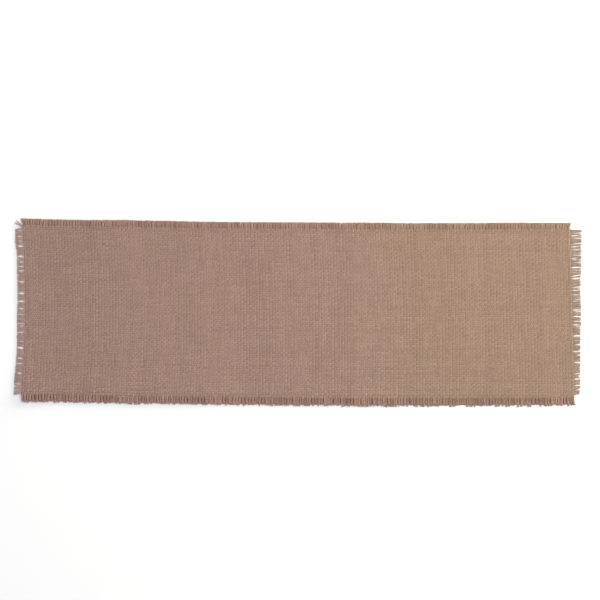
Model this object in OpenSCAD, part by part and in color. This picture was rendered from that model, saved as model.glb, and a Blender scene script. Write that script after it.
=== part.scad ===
// Table runner: one flat woven cloth with its yarn ends frayed into fringes on all four sides.
// Frame: +X along the runner, +Y across it, +Z up. The origin is at the middle of the footprint,
// on the surface that the runner lies on.

/* [Runner] */
// Length over both end fringes
runner_l = 1400; // [1000:10:1800]
// Width over both side fringes
runner_w = 453; // [300:1:600]
// Thickness of the woven cloth
cloth_t = 2; // [1.4:0.1:3]

/* [Fringes] */
// Length of the warp ends at the two short ends
end_fringe = 20; // [10:1:60]
// Length of the weft ends along the two long sides
side_fringe = 18; // [8:1:40]
// Thickness of one yarn end
yarn_t = 1.2; // [0.6:0.1:1.4]
// Share of its pitch that a warp end covers
warp_cover = 0.6; // [0.3:0.05:0.9]
// Share of its pitch that a weft end covers
weft_cover = 0.8; // [0.3:0.05:0.9]

/* [Lie of the cloth] */
// How far the long edges bow towards the front at the middle
sag = 5; // [0:0.5:15]
// How far the left edge is drawn in at its middle
left_bow = 8; // [0:0.5:20]
// How much further the right edge reaches at the front than at the back
right_skew = 14; // [0:0.5:20]

/* [Stay stitching] */
// Distance of the stitching from the fringe
stitch_inset = 7; // [4:0.5:15]
// Width of the stitch line
stitch_w = 0.7; // [0.4:0.1:1.2]
// How far the thread sinks into each face
stitch_depth = 0.3; // [0.2:0.1:0.5]

/* [Hidden] */

panel_w = runner_w - 2 * side_fringe;
left_x = end_fringe - runner_l / 2;
right_x = runner_l / 2 - end_fringe;

// Every bowed edge is a chain of straight bays, and each bay holds a whole number of yarn ends.
long_bays = 20;
picks_per_bay = 10;
short_bays = 5;
ends_per_bay = 15;
picks = long_bays * picks_per_bay;
ends = short_bays * ends_per_bay;

// A yarn end varies in length by this share, and its tip leans by this share of the pitch.
length_spread = 0.08;
lean_share = 0.2;

stray_w = 1.2;

cloth_colour = [0.64, 0.53, 0.47];
warp_colour = [0.60, 0.51, 0.46];
weft_colour = [0.55, 0.44, 0.38];
thread_colour = [0.50, 0.40, 0.35];

function mix(a, b, t) = a + (b - a) * t;
function reversed(points) = [for (i = [len(points) - 1:-1:0]) points[i]];
function shifted(points, by) = [for (p = points) p + by];

// The long edges bow towards the front, and sag is shared evenly about y = 0.
function sag_y(x) = sag * (pow(2 * x / runner_l, 2) - 0.5);

// Points at t from 0 to 1 along each edge of the cloth, drawn in by inset. side is 1 at the back.
function long_edge(side, t, inset) =
    let (
        end_x = right_x - side * right_skew / 2,
        x = mix(left_x + inset, end_x - inset, t)
    )
    [x, side * (panel_w / 2 - inset) + sag_y(x)];
function left_edge(t, inset) =
    mix(long_edge(-1, 0, inset), long_edge(1, 0, inset), t) + [left_bow * 4 * t * (1 - t), 0];
function right_edge(t, inset) = mix(long_edge(-1, 1, inset), long_edge(1, 1, inset), t);

// The corners of each edge's chain of bays
function front_chain(inset = 0) = [for (i = [0:long_bays]) long_edge(-1, i / long_bays, inset)];
function back_chain(inset = 0) = [for (i = [0:long_bays]) long_edge(1, i / long_bays, inset)];
function left_chain(inset = 0) = [for (i = [0:short_bays]) left_edge(i / short_bays, inset)];
function right_chain(inset = 0) = [for (i = [0:short_bays]) right_edge(i / short_bays, inset)];

// The point at t from 0 to 1 along a chain
function on_chain(chain, t) =
    let (
        place = t * (len(chain) - 1),
        bay = min(floor(place), len(chain) - 2)
    )
    mix(chain[bay], chain[bay + 1], place - bay);

module cloth_outline() {
    polygon(concat(front_chain(), right_chain(), reversed(back_chain()), reversed(left_chain())));
}

// One stitch line: a thread sunk into both faces of the cloth along a chain
module stitch_line(chain, across) {
    band = concat(shifted(chain, across * stitch_w / 2), reversed(shifted(chain, -across * stitch_w / 2)));
    for (z = [0, cloth_t - stitch_depth])
        translate([0, 0, z]) linear_extrude(stitch_depth) polygon(band);
}

// The chain of an end stitch line, which stops a little short of the lines along the sides
function short_of_sides(chain) =
    let (
        last = len(chain) - 1,
        short = [0, 1.5 * stitch_w]
    )
    [for (i = [0:last]) i == 0 ? chain[0] + short : i == last ? chain[last] - short : chain[i]];

module stitching_front() {
    color(thread_colour) stitch_line(front_chain(stitch_inset), [0, 1]);
}

module stitching_back() {
    color(thread_colour) stitch_line(back_chain(stitch_inset), [0, 1]);
}

module stitching_left() {
    color(thread_colour) stitch_line(short_of_sides(left_chain(stitch_inset)), [1, 0]);
}

module stitching_right() {
    color(thread_colour) stitch_line(short_of_sides(right_chain(stitch_inset)), [1, 0]);
}

module woven_panel() {
    color(cloth_colour)
        difference() {
            linear_extrude(cloth_t) cloth_outline();
            stitching_front();
            stitching_back();
            stitching_left();
            stitching_right();
        }
}

// One yarn end lying on the table. Its base runs from a to b on the edge of the cloth, and its
// tip is out away, leaning by lean along the edge.
module yarn_end(a, b, out, lean) {
    middle = (a + b) / 2;
    half = (b - a) / 2;
    linear_extrude(yarn_t)
        polygon([
            a,
            b,
            middle + 0.7 * out + 0.4 * lean + 0.9 * half,
            middle + out + lean + 0.4 * half,
            middle + out + lean - 0.4 * half,
            middle + 0.7 * out + 0.4 * lean - 0.9 * half
        ]);
}

// The yarn ends from number first to number last of the count that leave an edge. Neighbours lean
// together in pairs. reach(x) is the length that an end at x is cut to.
module yarn_ends(chain, count, first, last, cover, direction, reach, seed) {
    shorter = rands(0, length_spread, count, seed);
    turns = rands(-0.5, 0.5, count, seed + 1);
    for (i = [first:last]) {
        a = on_chain(chain, (i + (1 - cover) / 2) / count);
        b = on_chain(chain, (i + (1 + cover) / 2) / count);
        pair = i % 2 == 0 ? 1 : -1;
        lean = (b - a) / cover * lean_share * (pair / 2 + turns[i]);
        yarn_end(a, b, direction * reach(a[0]) * (1 - shorter[i]), lean);
    }
}

module fringe_front() {
    color(weft_colour)
        yarn_ends(front_chain(), picks, 0, picks - 1, weft_cover, [0, -1], function (x) side_fringe, 11);
}

module fringe_back() {
    color(weft_colour)
        yarn_ends(back_chain(), picks, 0, picks - 1, weft_cover, [0, 1], function (x) side_fringe, 21);
}

// A warp end that has come loose at a corner and lies slantwise. t is its place along the edge.
module stray_end(chain, t, tip) {
    base = on_chain(chain, t);
    linear_extrude(yarn_t)
        polygon([base - [0, stray_w / 2], base + [0, stray_w / 2], tip]);
}

// The last warp end at the back corner has split into two strays.
module fringe_left() {
    color(warp_colour) {
        yarn_ends(left_chain(), ends, 0, ends - 2, warp_cover, [-1, 0], function (x) end_fringe, 31);
        stray_end(left_chain(), (ends - 0.8) / ends, [-runner_l / 2, panel_w / 2 + 9]);
        stray_end(left_chain(), (ends - 0.4) / ends, [4 - runner_l / 2, panel_w / 2 + 14]);
    }
}

// The warp end at the front corner is missing.
module fringe_right() {
    color(warp_colour)
        yarn_ends(right_chain(), ends, 1, ends - 1, warp_cover, [1, 0], function (x) runner_l / 2 - x, 41);
}

woven_panel();
fringe_left();
fringe_right();
fringe_front();
fringe_back();
stitching_left();
stitching_right();
stitching_front();
stitching_back();
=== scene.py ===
"""Table runner: a heavy woven cloth with frayed edges, built yarn by yarn around the CAD panel.

The cloth is a panama weave: warp and weft go over and under each other in pairs. Every yarn is a
closed tube. Past the edge of the cloth each yarn goes on as a bundle of plies, which opens into a
frayed tip. Everything is in metres, in the CAD frame: +X along the runner, +Y across it, +Z up.
"""
import math
from dataclasses import dataclass

import bpy
import numpy as np
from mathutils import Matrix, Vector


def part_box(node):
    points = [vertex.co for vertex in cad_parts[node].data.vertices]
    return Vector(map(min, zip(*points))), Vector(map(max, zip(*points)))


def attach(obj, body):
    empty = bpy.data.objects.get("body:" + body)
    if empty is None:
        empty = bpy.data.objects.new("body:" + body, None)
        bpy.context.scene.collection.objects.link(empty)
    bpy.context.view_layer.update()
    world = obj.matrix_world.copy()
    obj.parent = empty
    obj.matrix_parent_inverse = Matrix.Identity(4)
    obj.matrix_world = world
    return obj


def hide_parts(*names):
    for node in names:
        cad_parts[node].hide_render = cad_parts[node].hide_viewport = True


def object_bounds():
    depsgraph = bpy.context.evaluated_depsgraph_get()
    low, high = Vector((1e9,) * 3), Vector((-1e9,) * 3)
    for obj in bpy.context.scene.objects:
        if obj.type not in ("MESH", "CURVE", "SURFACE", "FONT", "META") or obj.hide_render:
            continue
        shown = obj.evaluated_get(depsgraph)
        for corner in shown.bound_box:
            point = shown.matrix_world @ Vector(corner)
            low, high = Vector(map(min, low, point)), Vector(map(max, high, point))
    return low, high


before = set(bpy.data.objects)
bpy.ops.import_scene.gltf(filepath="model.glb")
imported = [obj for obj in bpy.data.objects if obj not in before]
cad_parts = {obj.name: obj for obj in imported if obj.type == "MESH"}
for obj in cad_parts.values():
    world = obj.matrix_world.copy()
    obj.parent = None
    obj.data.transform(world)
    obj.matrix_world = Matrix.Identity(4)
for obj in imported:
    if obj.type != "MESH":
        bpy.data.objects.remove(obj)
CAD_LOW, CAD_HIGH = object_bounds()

MM = 0.001
SEED = 7

# The weave, with as many pairs of ends and picks as the CAD fringes have yarn ends
END_PAIRS = 75
PICK_PAIRS = 200
PANEL_LOW, PANEL_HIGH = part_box("woven_panel")
PANEL_L = PANEL_HIGH.x - PANEL_LOW.x
PANEL_W = PANEL_HIGH.y - PANEL_LOW.y
CLOTH_T = PANEL_HIGH.z - PANEL_LOW.z
YARN_H = CLOTH_T / 2
CRIMP = (CLOTH_T - YARN_H) / 2
END_PITCH = PANEL_W / (2 * END_PAIRS)
PICK_PITCH = PANEL_L / (2 * PICK_PAIRS)

# Stay stitching
STITCH_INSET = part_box("stitching_left")[0].x - PANEL_LOW.x
STITCH = 3.3 * MM
THREAD_R = 0.22 * MM
THREAD_SIDES = 5
# The share of its thickness that the cloth loses under the stitching
STITCH_PULL = 0.05


# ---------------------------------------------------------------- small helpers

def mix(a, b, t):
    return a + (b - a) * t


def smooth(t, start=0.0, end=1.0):
    """0 before start, 1 after end, and a smooth step between."""
    t = np.clip((t - start) / (end - start), 0, 1)
    return t * t * (3 - 2 * t)


def wander(rng, rows, at, spacing):
    """Smooth noise from -1 to 1 at the places at, with knots spacing apart, a row for each yarn."""
    place = np.asarray(at, float) / spacing
    knots = rng.uniform(-1, 1, (rows, int(place.max()) + 2))
    first = np.floor(place).astype(int)
    return mix(knots[:, first], knots[:, first + 1], smooth(place - first))


# ---------------------------------------------------------------- outline and lie of the cloth

def panel_outline():
    """The corners of the CAD panel's outline, which are its upright edges of full height."""
    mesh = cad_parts["woven_panel"].data
    co = np.array([v.co for v in mesh.vertices])
    ends = np.array([e.vertices for e in mesh.edges])
    step = np.abs(co[ends[:, 1]] - co[ends[:, 0]])
    upright = (step[:, :2].max(axis=1) < 0.01 * MM) & (step[:, 2] > 0.9 * CLOTH_T)
    return np.unique(np.round(co[ends[upright, 0], :2], 6), axis=0)


OUTLINE = panel_outline()
# An edge bows by less than this
MOST_BOW = 20 * MM


class Edge:
    """One edge of the cloth, from corner a to corner b, as a smooth curve through the CAD outline.

    outward is the direction of the yarn ends that leave it, and pairs is how many pairs do.
    """

    def __init__(self, a, b, outward, pairs):
        chord = b - a
        share = (OUTLINE - a) @ chord / (chord @ chord)
        off = np.abs((OUTLINE - a) @ [-chord[1], chord[0]]) / np.linalg.norm(chord)
        on_edge = off < MOST_BOW
        self.curve = np.polyfit(share[on_edge], OUTLINE[on_edge], 2)
        self.outward = np.array(outward, float)
        self.pairs = pairs

    def __call__(self, t):
        """The point at t from 0 to 1 along the edge."""
        t = np.asarray(t, float)[..., None]
        return (self.curve[0] * t + self.curve[1]) * t + self.curve[2]


FRONT_LEFT, FRONT_RIGHT, BACK_LEFT, BACK_RIGHT = (
    OUTLINE[np.argmax(OUTLINE @ towards)] for towards in ((-1, -1), (1, -1), (-1, 1), (1, 1))
)
FRONT = Edge(FRONT_LEFT, FRONT_RIGHT, (0, -1), PICK_PAIRS)
BACK = Edge(BACK_LEFT, BACK_RIGHT, (0, 1), PICK_PAIRS)
LEFT = Edge(FRONT_LEFT, BACK_LEFT, (-1, 0), END_PAIRS)
RIGHT = Edge(FRONT_RIGHT, BACK_RIGHT, (1, 0), END_PAIRS)


def on_panel(s, t):
    """The point s of the way along the cloth and t of the way across it."""
    s, t = np.broadcast_arrays(np.asarray(s, float), np.asarray(t, float))
    across, along = t[..., None], s[..., None]
    flat = mix(
        mix(FRONT_LEFT, FRONT_RIGHT, along),
        mix(BACK_LEFT, BACK_RIGHT, along),
        across,
    )
    return mix(FRONT(s), BACK(s), across) + mix(LEFT(t), RIGHT(t), along) - flat


# Slow waves in the cloth: wavelength along X and along Y, height, and phase
WAVES = (
    (0.47, 0.61, 0.35 * MM, 0.4),
    (0.31, -0.38, 0.25 * MM, 2.1),
    (-0.21, 0.29, 0.16 * MM, 4.0),
    (0.13, 0.17, 0.10 * MM, 1.2),
)
# How far each edge stands off the table, and over what distance it comes down
LEFT_LIFT, RIGHT_LIFT, FRONT_LIFT, BACK_LIFT = 1.6 * MM, 0.2 * MM, 2.2 * MM, 0.4 * MM
LIFT_REACH = 60 * MM
# The lift of the left and front edges rises and falls by these shares. The lengths are one radian
# of this ripple.
LEFT_RIPPLE, FRONT_RIPPLE = 0.25, 0.3
LEFT_RADIAN, FRONT_RADIAN = 45 * MM, 70 * MM


def ripple(share, at, radian):
    """A factor that rises and falls between 1 - 2 * share and 1 along an edge."""
    return 1 - share + share * np.sin(at / radian)


def lie(x, y):
    """Height of the cloth's underside above the table."""
    height = sum(
        size * (1 + np.sin(2 * np.pi * (x / along + y / across) + phase))
        for along, across, size, phase in WAVES
    ) / 2
    left = LEFT_LIFT * ripple(LEFT_RIPPLE, y, LEFT_RADIAN)
    front = FRONT_LIFT * ripple(FRONT_RIPPLE, x, FRONT_RADIAN)
    height += left * np.exp((PANEL_LOW.x - x) / LIFT_REACH)
    height += RIGHT_LIFT * np.exp((x - PANEL_HIGH.x) / LIFT_REACH)
    height += front * np.exp((PANEL_LOW.y - y) / LIFT_REACH)
    height += BACK_LIFT * np.exp((y - PANEL_HIGH.y) / LIFT_REACH)
    return height


def drawn_in(s, t):
    """How much of its thickness the cloth keeps: the stay stitching draws it together."""
    inside_x = np.minimum(s, 1 - s) * PANEL_L
    inside_y = np.minimum(t, 1 - t) * PANEL_W
    gap = np.minimum(np.abs(inside_x - STITCH_INSET), np.abs(inside_y - STITCH_INSET))
    return 1 - STITCH_PULL * np.exp(-(gap / STITCH) ** 2)


# ---------------------------------------------------------------- tubes

# No tube comes closer to the table than this
TABLE_GAP = 0.02 * MM


def tubes(name, centre, across, rise, tone, sides, phase):
    """A mesh of closed tubes.

    centre is (tubes, rings, 3). across and rise are each ring's half width and half height, tone
    its lightness, and phase where each tube's twist starts, in metres.
    """
    count, rings = centre.shape[:2]
    ahead = np.gradient(centre, axis=1)
    left = np.stack([-ahead[..., 1], ahead[..., 0]], axis=-1)
    left /= np.linalg.norm(left, axis=-1, keepdims=True)
    turn = 2 * np.pi * np.arange(sides) / sides
    co = np.repeat(centre[:, :, None, :], sides, axis=2)
    co[..., :2] += left[:, :, None, :] * (across[..., None] * np.cos(turn))[..., None]
    co[..., 2] += rise[..., None] * np.sin(turn)
    co[..., 2] = np.maximum(co[..., 2], TABLE_GAP)

    # The material finds its way around and along each yarn by this attribute
    step = np.linalg.norm(np.diff(centre, axis=1), axis=-1)
    along = np.concatenate([np.zeros((count, 1)), np.cumsum(step, axis=1)], axis=1)
    yarn = np.empty_like(co)
    yarn[..., 0] = np.cos(turn)
    yarn[..., 1] = np.sin(turn)
    yarn[..., 2] = (along + phase[:, None])[..., None]

    start = (np.arange(count) * rings * sides)[:, None, None]
    ring = (np.arange(rings - 1) * sides)[None, :, None]
    corner = np.arange(sides)[None, None, :]
    here = start + ring + corner
    beside = start + ring + (corner + 1) % sides
    walls = np.stack([here, beside, beside + sides, here + sides], axis=-1).reshape(-1)
    first_cap = start[:, 0] + corner[0, :, ::-1]
    last_cap = start[:, 0] + (rings - 1) * sides + corner[0]
    corners = np.concatenate([walls, first_cap.reshape(-1), last_cap.reshape(-1)])
    wall_count = len(walls) // 4
    starts = np.concatenate(
        [4 * np.arange(wall_count), 4 * wall_count + sides * np.arange(2 * count)]
    )

    mesh = bpy.data.meshes.new(name)
    mesh.vertices.add(co.size // 3)
    mesh.vertices.foreach_set("co", co.astype(np.float32).ravel())
    mesh.loops.add(len(corners))
    mesh.loops.foreach_set("vertex_index", corners.astype(np.int32))
    mesh.polygons.add(len(starts))
    mesh.polygons.foreach_set("loop_start", starts.astype(np.int32))
    mesh.polygons.foreach_set("use_smooth", np.ones(len(starts), bool))
    yarn_data = mesh.attributes.new("yarn", "FLOAT_VECTOR", "POINT").data
    yarn_data.foreach_set("vector", yarn.astype(np.float32).ravel())
    tone_data = mesh.attributes.new("tone", "FLOAT", "POINT").data
    tone_data.foreach_set("value", np.repeat(tone[..., None], sides, 2).astype(np.float32).ravel())
    mesh.update(calc_edges=True)
    return add_object(name, mesh)


def add_object(name, data):
    thing = bpy.data.objects.new(name, data)
    bpy.context.scene.collection.objects.link(thing)
    return thing


def finished(piece, material, nodes=()):
    """Puts a piece on the runner: its material and the CAD nodes it stands for."""
    piece.data.materials.append(material)
    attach(piece, "root")
    if nodes:
        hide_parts(*nodes)
    return piece


# ---------------------------------------------------------------- the woven cloth

# How unevenly the pairs of a set are spaced, and how far the two yarns of a pair draw together,
# as shares of their pitch
SPACING = {END_PAIRS: (0.14, 0.05), PICK_PAIRS: (0.30, 0.08)}
# Over how many pairs the spacing changes
SPACING_RUN = 2.5
YARN_SIDES = 6
# A yarn's ring is a hexagon that lies on a side, so its top is this share of its half height up
HEXAGON_TOP = math.sin(math.pi / 3)
# Each set of yarns is split into this many meshes
STRIPS = 4
# How much of its crimp and of its thickness a yarn keeps where it leaves the cloth
EDGE_CRIMP = 0.5
EDGE_THICKNESS = 0.9
# A yarn strays sideways by up to this share of its pitch, over this distance
STRAY = 0.05
STRAY_RUN = 70 * MM
# How much wider and higher a slub is, how long it is, and how far the clusters of slubs are apart
SLUB_WIDTH, SLUB_HEIGHT = 0.14, 0.08
SLUB_RUN, CLUSTER_RUN = 45 * MM, 160 * MM
# Lightness varies along a pair and along each of its yarns over these distances
PAIR_TONE_RUN, YARN_TONE_RUN = 22 * MM, 14 * MM
# How much it varies from pair to pair and along a yarn, as shares of how much it does along a pair
WHOLE_PAIR_TONE, YARN_TONE = 0.3, 0.6


def yarn_places(pairs):
    """Where the yarns of a set lie across the cloth, as shares of its size."""
    uneven, gather = SPACING[pairs]
    rng = np.random.default_rng(SEED + pairs)
    gap = 1 + uneven * wander(rng, 1, np.arange(pairs), SPACING_RUN)[0]
    gap /= gap.sum()
    middle = np.cumsum(gap) - gap / 2
    apart = (0.25 - 0.5 * gather) * gap
    return np.stack([middle - apart, middle + apart], axis=1).ravel()


def woven_yarns(name, lengthwise, cover, streak, seed):
    """One set of yarns as STRIPS meshes: the warp if lengthwise, and otherwise the weft.

    cover is the share of its pitch that a yarn fills, and streak how much its lightness varies.
    """
    rng = np.random.default_rng(seed)
    if lengthwise:
        own_pairs, other_pairs, pitch, run = END_PAIRS, PICK_PAIRS, END_PITCH, PANEL_L
    else:
        own_pairs, other_pairs, pitch, run = PICK_PAIRS, END_PAIRS, PICK_PITCH, PANEL_W
    count = 2 * own_pairs
    along = np.concatenate([[0], yarn_places(other_pairs), [1]])
    distance = along * run

    pair = np.arange(count) // 2
    other = np.concatenate([[0], np.arange(2 * other_pairs) // 2, [other_pairs - 1]])
    over = np.where((pair[:, None] + other[None, :]) % 2 == (0 if lengthwise else 1), 1.0, -1.0)
    over[:, [0, -1]] *= EDGE_CRIMP

    aside = yarn_places(own_pairs)[:, None] * np.ones(len(along))
    aside += wander(rng, count, distance, STRAY_RUN) * STRAY / count
    s, t = (along[None, :], aside) if lengthwise else (aside, along[None, :])
    place = on_panel(s, t)

    slub = wander(rng, count, distance, SLUB_RUN) * wander(rng, count, distance, CLUSTER_RUN)
    keep = drawn_in(s, t)
    across = pitch / 2 * cover * (1 + SLUB_WIDTH * slub)
    rise = YARN_H / 2 / HEXAGON_TOP * (1 + SLUB_HEIGHT * slub) * keep
    across[:, [0, -1]] *= EDGE_THICKNESS
    rise[:, [0, -1]] *= EDGE_THICKNESS
    z = lie(place[..., 0], place[..., 1]) + (CLOTH_T / 2 + CRIMP * over) * keep
    centre = np.concatenate([place, z[..., None]], axis=-1)

    pair_tone = wander(rng, own_pairs, distance, PAIR_TONE_RUN)
    pair_tone = pair_tone + WHOLE_PAIR_TONE * rng.uniform(-1, 1, (own_pairs, 1))
    yarn_tone = YARN_TONE * wander(rng, count, distance, YARN_TONE_RUN)
    tone = streak * (np.repeat(pair_tone, 2, axis=0) + yarn_tone)
    phase = rng.uniform(0, 1, count)
    return [
        tubes(f"{name}_{i + 1}", centre[part], across[part], rise[part], tone[part],
              YARN_SIDES, phase[part])
        for i, part in enumerate(np.array_split(np.arange(count), STRIPS))
    ]


def cloth_core():
    """A thin sheet between warp and weft, which closes the holes of the weave. It is darker than
    the yarns: painted shade in the gaps between them.
    """
    cell = 8 * MM
    half_t = 0.15 * MM
    rim_s, rim_t = PICK_PITCH / 2 / PANEL_L, END_PITCH / 2 / PANEL_W
    s = np.linspace(rim_s, 1 - rim_s, int(PANEL_L / cell))
    t = np.linspace(rim_t, 1 - rim_t, int(PANEL_W / cell))
    place = on_panel(s[:, None], t[None, :])
    middle = lie(place[..., 0], place[..., 1]) + CLOTH_T / 2
    faces = [np.concatenate([place, (middle + up)[..., None]], axis=-1) for up in (-half_t, half_t)]
    co = np.concatenate([face.reshape(-1, 3) for face in faces])
    below = np.arange(middle.size).reshape(middle.shape)
    above = below + middle.size

    def quads(a, b, c, d):
        return np.stack([a, b, c, d], axis=-1).reshape(-1, 4).tolist()

    polygons = quads(below[:-1, :-1], below[:-1, 1:], below[1:, 1:], below[1:, :-1])
    polygons += quads(above[:-1, :-1], above[1:, :-1], above[1:, 1:], above[:-1, 1:])
    rim = np.concatenate([below[:, 0], below[-1, 1:], below[-2::-1, -1], below[0, -2:0:-1]])
    after = np.roll(rim, -1)
    polygons += quads(rim, after, after + middle.size, rim + middle.size)
    mesh = bpy.data.meshes.new("cloth_core")
    mesh.from_pydata(co.tolist(), [], polygons)
    mesh.update()
    return add_object("cloth_core", mesh)


# ---------------------------------------------------------------- fringes

# Shares of a yarn end's length: it has narrowed to its waist at the first, starts to open again at
# the second, and is open at the third
WAIST, OPENING, OPEN = 0.35, 0.4, 0.9


@dataclass(kw_only=True)
class Look:
    """How the yarn ends of a fringe look. Each is a bundle of plies. Lengths are in metres."""

    plies: int
    ply_r: float
    # The share of its radius that a ply keeps at its tip
    tip_r: float
    # Half width of the bundle, measured to the middles of its plies
    root_w: float
    waist_w: float
    tip_w: float
    # How much lighter than the cloth it is, and how much this varies along the fringe. On the left
    # fringe most of this is painted light: it lightens yarn ends in the shade of the cloth's edge,
    # away from the lamps.
    root_tone: float
    tip_tone: float
    mottle: float = 0.0
    # How far a ply, a yarn end and a whole stretch of the fringe stray sideways at the tip
    splay: float
    lean: float = 0.0
    sway: float = 0.0
    # Pairs draw together in clumps, by these shares of their distance from the clump's middle
    waist_clumping: float = 0.0
    tip_clumping: float = 0.0
    # How far each yarn of a pair draws to the other at the waist. It is half as far at the tip.
    twin: float = 0.0
    # How much of its height over the table a tip loses
    droop: float
    rings: int

    def half_width(self, opened):
        """opened is the place along the yarn end, from 0 at the cloth to 1 at the tip."""
        narrowed = mix(self.root_w, self.waist_w, smooth(opened, 0, WAIST))
        return mix(narrowed, self.tip_w, smooth(opened, OPENING, OPEN))


# The left ends' high tones are painted light, which lightens them in the shade of the cloth's edge
LEFT_END = Look(
    plies=6, ply_r=0.34 * MM, tip_r=0.5,
    root_w=1.10 * MM, waist_w=0.62 * MM, tip_w=1.20 * MM,
    root_tone=0.56, tip_tone=0.49, mottle=0.05,
    splay=0.5 * MM, lean=0.3 * MM, sway=1.5 * MM,
    waist_clumping=0.3, tip_clumping=0.05,
    droop=0.7, rings=10,
)
RIGHT_END = Look(
    plies=6, ply_r=0.36 * MM, tip_r=0.45,
    root_w=1.10 * MM, waist_w=0.82 * MM, tip_w=1.25 * MM,
    root_tone=0.10, tip_tone=0.10, mottle=0.10,
    splay=0.6 * MM, lean=0.9 * MM, sway=3.5 * MM,
    waist_clumping=0.16, tip_clumping=0.18,
    droop=0.7, rings=10,
)
SIDE_END = Look(
    plies=5, ply_r=0.54 * MM, tip_r=0.85,
    root_w=0.85 * MM, waist_w=0.75 * MM, tip_w=1.30 * MM,
    root_tone=0.03, tip_tone=0.11, mottle=0.15,
    splay=0.30 * MM, lean=0.40 * MM, sway=1.2 * MM,
    waist_clumping=0.08, tip_clumping=0.05, twin=0.25 * MM,
    droop=0.2, rings=8,
)
STRAY_END = Look(
    plies=4, ply_r=0.55 * MM, tip_r=0.6,
    root_w=0.3 * MM, waist_w=0.3 * MM, tip_w=0.6 * MM,
    root_tone=0.2, tip_tone=-0.2,
    splay=0.25 * MM,
    droop=0.6, rings=10,
)
PLY_SIDES = 5
# A ply is this much wider than high
PLY_WIDENING = 1.1
# Half height of a bundle at its root and once it has flattened, in radii of its plies, and the
# share of its length at which it has
ROOT_RISE, FLAT_RISE = 1.2, 0.7
FLATTENED = 2 / 3
# A ply tapers from this share of its length on
TAPER = 0.7
# A yarn end's bend grows over the first of these shares of its length, and fades over the last
BEND_GROWS, BEND_FADES = 0.25, 0.6
# A yarn end's lean changes along it, with knots this share of its length apart
LEAN_RUN = 0.5
# The yarn ends start this far inside the woven yarns, at this share of their size
OVERLAP = 1.5 * MM
HIDDEN_SIZE = 0.35
# One turn of the plies about each other, and how much of the twist is undone at the tip
FRINGE_TWIST = 9 * MM
UNTWIST = 0.5
# The shortest and the longest that a ply and a yarn end are cut, as shares of their length
PLY_CUT = (0.93, 1.02)
END_CUT = (0.95, 1.03)
# How much the length rises and falls along the fringe, and over what share of the edge
LENGTH_WAVE, LENGTH_WAVE_RUN = 0.06, 0.09
# Over what share of the edge the fringe sways, and over how many pairs its tone changes
SWAY_RUN = 0.07
MOTTLE_RUN = 2
# How much the lightness varies from pair to pair and from ply to ply
FRINGE_TONE = 0.05
# Over how many pairs from a corner the yarn ends flare
FLARE_PAIRS = 2.5

# The yarn ends' reach past the edge, as a share of the depth of the CAD fringe
RIGHT_REACH, FRONT_REACH, BACK_REACH = 1.12, 1.15, 0.97
# The front fringe is ragged: the least and the most that a yarn end has of this reach
FRONT_RAGGED = (0.76, 1.06)

# Loose fibres that lie flat below the yarn ends of the long sides, and hide the table: how many
# there are for each yarn end, and their half width
BED_FIBRES = 3
BED_R = 0.75 * MM
BED_RINGS = 6
# Their half height, their half width at the tip, and how low their middles come, as shares of it
BED_FLATNESS, BED_TIP, BED_LOW = 0.6, 0.7, 0.7
# Their lightness, darker than the yarn ends as painted shade in the slits between them, and how
# much it varies
BED_SHADE, BED_MOTTLE = -0.3, 0.06
# Their length at the front as a share of the yarn ends', the least and the most that a fibre has
# of its length, and how far its tip strays
FRONT_BED = 0.85
BED_CUT = (0.88, 0.98)
BED_SPLAY = 0.5 * MM
# Shares of its length: a fibre is down on the table at the first, and tapers from the second on
BED_DOWN, BED_TAPER = 0.625, 0.8


def bundles(root, tip, root_z, look, tone, rng, bend=0.0):
    """The plies of a row of yarn ends that run from root to tip, as centre, across, rise and tone.

    bend is how far each yarn end is pushed to its own left at its waist.
    """
    count, plies = len(root), look.plies
    reach = tip - root
    length = np.linalg.norm(reach, axis=1, keepdims=True)
    ahead = reach / length
    left = np.stack([-ahead[:, 1], ahead[:, 0]], axis=1)

    ply = np.tile(np.arange(plies), count)
    yarn = np.repeat(np.arange(count), plies)
    total = count * plies
    cut = length[yarn] * rng.uniform(*PLY_CUT, (total, 1))
    share = np.linspace(0, 1, look.rings)[None, :]
    out = -OVERLAP + (cut + OVERLAP) * share
    opened = np.clip(out / length[yarn], 0, 1)

    turn = 2 * np.pi * (ply / plies + rng.uniform(0, 1, count)[yarn])[:, None]
    turn = turn + 2 * np.pi * out / FRINGE_TWIST * (1 - UNTWIST * opened)
    freed = mix(HIDDEN_SIZE, 1, smooth(out, -OVERLAP, 0))
    half_w = look.half_width(opened) * freed
    half_h = look.ply_r * mix(ROOT_RISE, FLAT_RISE, smooth(opened, 0, FLATTENED)) * freed
    bent = smooth(opened, 0, BEND_GROWS) * smooth(1 - opened, 0, BEND_FADES)
    aside = half_w * np.cos(turn) + (bend * np.ones(count))[yarn][:, None] * bent
    aside += look.splay * rng.normal(0, 1, (total, 1)) * opened ** 2
    aside += (look.lean * wander(rng, count, share[0], LEAN_RUN))[yarn] * opened

    radius = look.ply_r * mix(1, look.tip_r, smooth(out / cut, TAPER, 1)) * freed
    settled = look.droop * smooth(opened)
    z = mix(root_z[yarn][:, None], look.ply_r + half_h, settled) + half_h * np.sin(turn)
    flat = root[yarn][:, None, :] + ahead[yarn][:, None, :] * out[..., None]
    flat = flat + left[yarn][:, None, :] * aside[..., None]
    centre = np.concatenate([flat, np.maximum(z, radius)[..., None]], axis=-1)
    lightness = tone[yarn][:, None] + FRINGE_TONE * rng.uniform(-1, 1, (total, 1))
    # The root and tip tones, which on the left fringe are painted light
    lightness = lightness + mix(look.root_tone, look.tip_tone, smooth(opened))
    return centre, radius * PLY_WIDENING, radius, lightness


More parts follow.
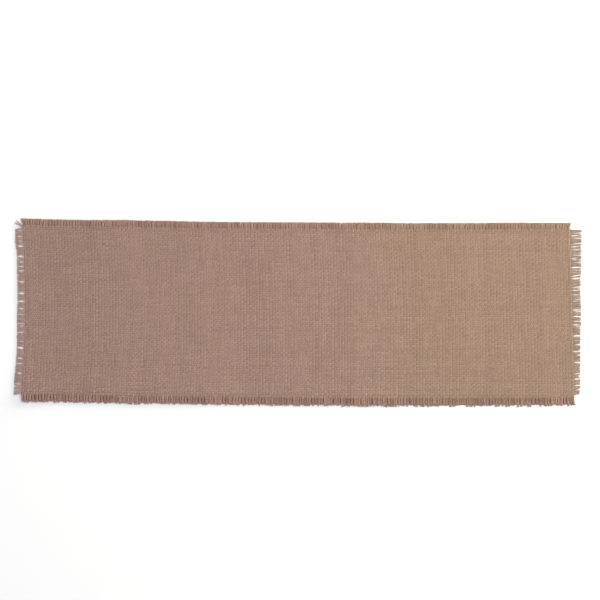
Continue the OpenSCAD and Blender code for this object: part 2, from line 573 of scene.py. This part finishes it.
def clump_shift(pairs, rng):
    """How far each pair draws towards the middle of its clump of one to five pairs, in pairs."""
    shift = np.zeros(pairs)
    first = 0
    while first < pairs:
        last = min(first + rng.integers(1, 6), pairs)
        tightness = rng.uniform(0.1, 1.3)
        shift[first:last] = tightness * ((first + last - 1) / 2 - np.arange(first, last))
        first = last
    return shift


def fringe_ends(edge, pairs, reach, look, parity, flare, rng):
    """The yarn ends of the given pairs that leave an edge, cut to the length reach(root).

    A pair leaves the cloth on its upper side where its number plus parity is even. flare is how
    far the last ends lean along the edge, at its start and at its end.
    """
    places = yarn_places(edge.pairs)
    number = np.concatenate([[2 * pair, 2 * pair + 1] for pair in pairs])
    pair = number // 2
    root = edge(places[number])
    over = np.where((pair + parity) % 2 == 0, 1, -1)
    root_z = lie(root[:, 0], root[:, 1]) + CLOTH_T / 2 + CRIMP * over * EDGE_CRIMP

    along = edge(1.0) - edge(0.0)
    pair_pitch = np.linalg.norm(along) / edge.pairs
    along /= np.linalg.norm(along)
    near_start = np.exp(-places[number] * edge.pairs / FLARE_PAIRS)
    near_end = np.exp(-(1 - places[number]) * edge.pairs / FLARE_PAIRS)
    twin = look.twin * np.where(number % 2 == 0, 1, -1)
    shift = pair_pitch * clump_shift(edge.pairs, rng)[pair]
    lean = look.tip_clumping * shift + 0.5 * twin
    lean += look.lean * (rng.normal(0, 1, edge.pairs)[pair] + rng.normal(0, 1, len(number)))
    lean += look.sway * wander(rng, 1, places, SWAY_RUN)[0][number]
    lean += flare[0] * near_start + flare[1] * near_end
    length = reach(root) * rng.uniform(*END_CUT, len(number))
    length *= 1 + LENGTH_WAVE * wander(rng, 1, places, LENGTH_WAVE_RUN)[0][number]
    tip = root + edge.outward * length[:, None] + along * lean[:, None]
    tone = FRINGE_TONE * rng.uniform(-1, 1, edge.pairs)[pair]
    tone += look.mottle * wander(rng, 1, places * edge.pairs, MOTTLE_RUN)[0][number]
    # 1 where the way along the edge is to a yarn end's own left, and -1 where it is to its right
    turn = np.sign(edge.outward[0] * along[1] - edge.outward[1] * along[0])
    bend = turn * (look.waist_clumping * shift * (1 - near_start - near_end) + twin)
    return bundles(root, tip, root_z, look, tone, rng, bend)


def fringe_mesh(name, parts, rng):
    centre, across, rise, tone = (np.concatenate(group) for group in zip(*parts))
    return tubes(name, centre, across, rise, tone, PLY_SIDES, rng.uniform(0, 1, len(centre)))


def fringe_bed(name, edge, reach, rng):
    """The loose fibres below the yarn ends of a long side, side by side and close together. Their
    darker tone is painted shade for the slits between the yarn ends.
    """
    count = 2 * edge.pairs * BED_FIBRES
    root = edge((np.arange(count) + 0.5) / count)
    share = np.linspace(0, 1, BED_RINGS)[None, :]
    out = mix(-OVERLAP, reach * rng.uniform(*BED_CUT, (count, 1)), share)
    flat = root[:, None, :] + edge.outward * out[..., None]
    flat[..., 0] += BED_SPLAY * rng.normal(0, 1, (count, 1)) * share
    root_z = lie(root[:, 0], root[:, 1])[:, None] + CLOTH_T / 2 - CRIMP
    z = np.maximum(mix(root_z, BED_R, smooth(share, 0, BED_DOWN)), BED_LOW * BED_R)
    across = BED_R * mix(1, BED_TIP, smooth(share, BED_TAPER, 1)) * np.ones((count, 1))
    # Darker than the yarn ends: painted shade in the slits between them
    tone = BED_SHADE + BED_MOTTLE * rng.uniform(-1, 1, (count, 1)) * np.ones(BED_RINGS)
    centre = np.concatenate([flat, z[..., None]], axis=-1)
    phase = rng.uniform(0, 1, count)
    return tubes(name, centre, across, BED_FLATNESS * across, tone, PLY_SIDES, phase)


def fringe_left():
    rng = np.random.default_rng(SEED + 10)
    low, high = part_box("fringe_left")
    depth = PANEL_LOW.x - low.x
    ends = fringe_ends(LEFT, range(END_PAIRS - 1), lambda root: depth, LEFT_END, parity=0,
                       flare=(-3 * MM, -6 * MM), rng=rng)
    # The last pair at the back corner has split into two thin strays
    root = LEFT(np.array([END_PAIRS - 0.8, END_PAIRS - 0.4]) / END_PAIRS)
    tip = np.array([[low.x, high.y - 5 * MM], [low.x + 4 * MM, high.y]])
    root_z = lie(root[:, 0], root[:, 1]) + CLOTH_T / 2
    strays = bundles(root, tip, root_z, STRAY_END, np.zeros(2), rng)
    return fringe_mesh("fringe_left_yarns", [ends, strays], rng)


def fringe_right():
    """The first pair, at the front corner, is missing."""
    rng = np.random.default_rng(SEED + 20)
    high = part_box("fringe_right")[1]
    ends = fringe_ends(RIGHT, range(1, END_PAIRS),
                       lambda root: RIGHT_REACH * (high.x - root[:, 0]), RIGHT_END,
                       parity=PICK_PAIRS - 1, flare=(2 * MM, 0), rng=rng)
    return fringe_mesh("fringe_right_yarns", [ends], rng)


def fringe_front():
    """The yarn ends and their bed."""
    rng = np.random.default_rng(SEED + 30)
    length = FRONT_REACH * (PANEL_LOW.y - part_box("fringe_front")[0].y)
    ends = fringe_ends(FRONT, range(PICK_PAIRS),
                       lambda root: length * rng.uniform(*FRONT_RAGGED, len(root)), SIDE_END,
                       parity=1, flare=(0, 3 * MM), rng=rng)
    yarns = fringe_mesh("fringe_front_yarns", [ends], rng)
    return yarns, fringe_bed("fringe_front_bed", FRONT, FRONT_BED * length, rng)


def fringe_back():
    """The yarn ends and their bed."""
    rng = np.random.default_rng(SEED + 40)
    length = BACK_REACH * (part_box("fringe_back")[1].y - PANEL_HIGH.y)
    ends = fringe_ends(BACK, range(PICK_PAIRS), lambda root: length, SIDE_END,
                       parity=END_PAIRS, flare=(-6 * MM, 9 * MM), rng=rng)
    yarns = fringe_mesh("fringe_back_yarns", [ends], rng)
    return yarns, fringe_bed("fringe_back_bed", BACK, length, rng)


# ---------------------------------------------------------------- stay stitching

# Height of the thread along one stitch, from 0 in the needle hole to 1 on the face of the cloth
STITCH_RISE = ((0.0, 0.25), (0.14, 0.85), (0.36, 1.0), (0.64, 1.0), (0.86, 0.85))


def stitching(name, first, last):
    """Both threads of a line of lockstitches between two places on the panel, (s, t) each."""
    run = np.linalg.norm(on_panel(*last) - on_panel(*first))
    stitches = int(run / STITCH)
    share = np.concatenate([[i + at for at, _ in STITCH_RISE] for i in range(stitches)]) / stitches
    height = np.tile([up for _, up in STITCH_RISE], stitches)
    s, t = (mix(first[k], last[k], share) for k in (0, 1))
    place = on_panel(s, t)
    half_t = CLOTH_T / 2 * drawn_in(s, t)
    middle = lie(place[..., 0], place[..., 1]) + half_t
    face = half_t + 0.5 * THREAD_R
    centre = np.stack([
        np.concatenate([place, (middle + up * face * height)[..., None]], axis=-1) for up in (1, -1)
    ])
    radius = np.full(centre.shape[:2], THREAD_R)
    return tubes(name, centre, radius, radius, 0 * radius, THREAD_SIDES, np.zeros(2))


def stitch_lines():
    """The four lines of stay stitching, by side."""
    s, t = STITCH_INSET / PANEL_L, STITCH_INSET / PANEL_W
    return {
        "left": ((s, t), (s, 1 - t)),
        "right": ((1 - s, t), (1 - s, 1 - t)),
        "front": ((s, t), (1 - s, t)),
        "back": ((s, 1 - t), (1 - s, 1 - t)),
    }


# ---------------------------------------------------------------- materials

class Nodes:
    """A node tree, with short ways to add nodes and link them."""

    def __init__(self, tree):
        self.tree = tree

    def add(self, kind, **values):
        node = self.tree.nodes.new(kind)
        for key, value in values.items():
            setattr(node, key, value)
        return node

    def put(self, value, socket):
        """Links value to the socket if it is a socket, and otherwise sets it."""
        if isinstance(value, bpy.types.NodeSocket):
            self.tree.links.new(value, socket)
        else:
            socket.default_value = value

    def math(self, operation, a, b=0.0, c=0.0):
        node = self.add("ShaderNodeMath", operation=operation)
        for value, socket in zip((a, b, c), node.inputs):
            self.put(value, socket)
        return node.outputs[0]

    def about_zero(self, value, size):
        """A value from 0 to 1, spread over size with its middle at 0."""
        return self.math("MULTIPLY_ADD", value, size, -size / 2)

    def attribute(self, name):
        return self.add("ShaderNodeAttribute", attribute_name=name)

    def parts(self, vector):
        """The X, Y and Z of a vector."""
        node = self.add("ShaderNodeSeparateXYZ")
        self.put(vector, node.inputs[0])
        return node.outputs

    def noise(self, vector, scale, detail):
        node = self.add("ShaderNodeTexNoise")
        self.put(vector, node.inputs["Vector"])
        node.inputs["Scale"].default_value = scale
        node.inputs["Detail"].default_value = detail
        return node.outputs["Fac"]

    def ramp(self, value, start, end, low=0.0, high=1.0, **values):
        """low before start, high after end, and in between it rises from low to high."""
        node = self.add("ShaderNodeMapRange", **values)
        self.put(value, node.inputs["Value"])
        node.inputs["From Min"].default_value = start
        node.inputs["From Max"].default_value = end
        node.inputs["To Min"].default_value = low
        node.inputs["To Max"].default_value = high
        return node.outputs[0]

    def blend(self, fac, a, b):
        """Colour a where fac is 0, and b where it is 1. A Mix node's colour inputs are 6 and 7."""
        node = self.add("ShaderNodeMix", data_type="RGBA")
        self.put(fac, node.inputs[0])
        self.put(a, node.inputs[6])
        self.put(b, node.inputs[7])
        return node.outputs[2]


def new_material(name):
    """A material, its nodes and the inputs of its shader."""
    material = bpy.data.materials.new(name)
    material.use_nodes = True
    nodes = Nodes(material.node_tree)
    return material, nodes, nodes.tree.nodes["Principled BSDF"].inputs


# How fine the noises are, in features per metre: fibres, tufts of them, and drifts of the dye
FIBRES, TUFTS, DRIFTS = 2600.0, 420.0, 9.0
# The hue drifts between these, as factors on its colour
ROSY = (1.005, 0.99, 1.03)
SANDY = (0.99, 1.015, 0.93)
# Up to SAND_START along X it is this much less sandy, and from SAND_END on this much more
SAND_START, SAND_END = 0.0, 0.4
LESS_SANDY, MORE_SANDY = -0.25, 0.6
# How strongly the plies and the fibres stand out in the bump, and in the lightness. The plies'
# lightness is painted shade, darker in the grooves between them.
PLY_BUMP, FIBRE_BUMP = 0.6, 0.9
PLY_SHADE, FIBRE_LIGHT, TUFT_LIGHT = 0.05, 0.24, 0.20


def tinted(colour, hue):
    return (*(part * factor for part, factor in zip(colour, hue)), 1)


def yarn_material(name, colour, twist, depth, sheen, plies=3):
    """Dyed yarn: plies wound round each other, fine fibres, and slow drifts in lightness and hue.
    The grooves between the plies are darkened as painted shade.

    twist is the length of one turn of the plies, and depth the height of the bump.
    """
    material, nodes, shader = new_material(name)
    cosine, sine, along = nodes.parts(nodes.attribute("yarn").outputs["Vector"])
    around = nodes.math("ARCTAN2", sine, cosine)
    winding = nodes.math("MULTIPLY", along, 2 * math.pi * plies / twist)
    ply = nodes.math("SINE", nodes.math("MULTIPLY_ADD", around, float(plies), winding))
    place = nodes.add("ShaderNodeTexCoord").outputs["Object"]
    fibre = nodes.noise(place, FIBRES, 3.0)
    tuft = nodes.noise(place, TUFTS, 2.0)
    drift = nodes.noise(place, DRIFTS, 3.0)

    bump = nodes.add("ShaderNodeBump")
    bump.inputs["Strength"].default_value = 0.55
    bump.inputs["Distance"].default_value = depth
    relief = nodes.math("MULTIPLY_ADD", ply, PLY_BUMP, nodes.math("MULTIPLY", fibre, FIBRE_BUMP))
    nodes.put(relief, bump.inputs["Height"])
    nodes.put(bump.outputs[0], shader["Normal"])

    # Lightness follows the plies: painted shade in the grooves between them
    light = nodes.math("MULTIPLY_ADD", ply, PLY_SHADE, 1.0)
    light = nodes.math("ADD", light, nodes.attribute("tone").outputs["Fac"])
    light = nodes.math("ADD", light, nodes.about_zero(fibre, FIBRE_LIGHT))
    light = nodes.math("ADD", light, nodes.about_zero(tuft, TUFT_LIGHT))
    # The colour turns sandier along X, from SAND_START to SAND_END
    sand = nodes.ramp(nodes.parts(place)["X"], SAND_START, SAND_END, LESS_SANDY, MORE_SANDY,
                      interpolation_type="SMOOTHSTEP")
    sandiness = nodes.math("ADD", drift, sand)
    dye = nodes.blend(sandiness, tinted(colour, ROSY), tinted(colour, SANDY))
    scaled = nodes.add("ShaderNodeVectorMath", operation="SCALE")
    nodes.put(dye, scaled.inputs[0])
    nodes.put(light, scaled.inputs["Scale"])
    nodes.put(scaled.outputs[0], shader["Base Color"])
    nodes.put(nodes.math("MULTIPLY_ADD", fibre, 0.2, 0.75), shader["Roughness"])
    shader["Specular IOR Level"].default_value = 0.25
    shader["Sheen Weight"].default_value = sheen
    shader["Sheen Roughness"].default_value = 0.5
    return material


# ---------------------------------------------------------------- stage

FLOOR_HALF = 40.0
FLOOR_COLOUR = (0.895, 0.895, 0.895, 1)
LAMP_COLOUR = (1.0, 1.0, 0.82)
WALL_COLOUR = (0.80, 0.80, 0.82, 1)
DOME_COLOUR = (0.64, 0.64, 0.72, 1)
# The walls end and the dome starts at these heights, as shares of straight up
WALL_TOP, DOME_FOOT = 0.1, 0.35
# The width that the camera sees, and where it looks, from the middle of the runner
VIEW_W = 1.484
VIEW_OFFSET = (7 * MM, 31 * MM)
VIEW_ROLL = math.radians(0.41)


def floor():
    """A plain pale table top that reaches to the horizon."""
    signs = ((-1, -1), (1, -1), (1, 1), (-1, 1))
    mesh = bpy.data.meshes.new("floor")
    mesh.from_pydata([(FLOOR_HALF * x, FLOOR_HALF * y, 0) for x, y in signs], [], [(0, 1, 2, 3)])
    material, _, shader = new_material("pale_floor")
    shader["Base Color"].default_value = FLOOR_COLOUR
    shader["Roughness"].default_value = 0.9
    shader["Specular IOR Level"].default_value = 0.1
    mesh.materials.append(material)
    piece = add_object("floor", mesh)
    return piece


def lamp(name, kind, place, energy):
    """A warm lamp that faces the middle of the runner."""
    data = bpy.data.lights.new(name, kind)
    data.energy = energy
    data.color = LAMP_COLOUR
    thing = add_object(name, data)
    thing.location = place
    thing.rotation_euler = (-thing.location).to_track_quat("-Z", "Y").to_euler()
    return data


def surround():
    """Pale walls at the horizon, and a dimmer, cool dome above them."""
    world = bpy.data.worlds.new("studio")
    world.use_nodes = True
    nodes = Nodes(world.node_tree)
    up = nodes.parts(nodes.add("ShaderNodeTexCoord").outputs["Generated"])["Z"]
    colour = nodes.blend(nodes.ramp(up, WALL_TOP, DOME_FOOT), WALL_COLOUR, DOME_COLOUR)
    nodes.put(colour, nodes.tree.nodes["Background"].inputs["Color"])
    bpy.context.scene.world = world


def lights():
    """A soft box over the right end, a wide high light, and a low light from the back right."""
    lamp("soft_box", "AREA", (1.3, 0.8, 1.8), 36).size = 1.0
    lamp("high_light", "SUN", (1.5, 1.3, 2.6), 0.15).angle = math.radians(30)
    lamp("low_light", "SUN", (4.7, 3.9, 0.6), 5.6).angle = math.radians(15)
    surround()
    bpy.context.scene.view_settings.view_transform = "Standard"


def camera():
    """Straight above the runner, a little to the right of its middle and behind it."""
    data = bpy.data.cameras.new("camera")
    data.lens = 85
    data.sensor_width = 36
    middle = (CAD_LOW + CAD_HIGH) / 2
    eye = add_object("camera", data)
    eye.location = (
        middle.x + VIEW_OFFSET[0],
        middle.y + VIEW_OFFSET[1],
        VIEW_W * data.lens / data.sensor_width,
    )
    eye.rotation_euler = (0, 0, VIEW_ROLL)
    bpy.context.scene.camera = eye


# ---------------------------------------------------------------- the runner

WARP = yarn_material("warp_yarn", (0.326, 0.211, 0.1685), 6.5 * MM, 0.35 * MM, 0.1)
WARP_END = yarn_material("warp_yarn_end", (0.330, 0.216, 0.186), 6.5 * MM, 0.35 * MM, 0.1)
WEFT = yarn_material("weft_yarn", (0.326, 0.210, 0.1675), 7.5 * MM, 0.35 * MM, 0.1)
WEFT_END = yarn_material("weft_yarn_end", (0.338, 0.209, 0.164), 7.5 * MM, 0.35 * MM, 0.1)
# The core is darker than the yarns: painted shade in the gaps of the weave
CORE_SHADE = yarn_material("woven_cloth", (0.22, 0.135, 0.105), 7.5 * MM, 0.35 * MM, 0.05)
THREAD = yarn_material("stitch_thread", (0.31, 0.2, 0.16), 1.2 * MM, 0.08 * MM, 0.05)

table = floor()
warp = [
    finished(piece, WARP)
    for piece in woven_yarns("warp_yarns", lengthwise=True, cover=0.88, streak=0.10, seed=SEED + 1)
]
weft = [
    finished(piece, WEFT)
    for piece in woven_yarns("weft_yarns", lengthwise=False, cover=0.90, streak=0.11, seed=SEED + 2)
]
fringes = [
    finished(fringe_left(), WARP_END, ["fringe_left"]),
    finished(fringe_right(), WARP_END, ["fringe_right"]),
]
for side, (yarns, bed) in {"front": fringe_front(), "back": fringe_back()}.items():
    fringes.append(finished(yarns, WEFT_END, [f"fringe_{side}"]))
    fringes.append(finished(bed, WEFT_END))
stitches = [
    finished(stitching(f"stay_stitches_{side}", first, last), THREAD,
             [f"stitching_{side}"])
    for side, (first, last) in stitch_lines().items()
]
core = finished(cloth_core(), CORE_SHADE, ["woven_panel"])

lights()
camera()
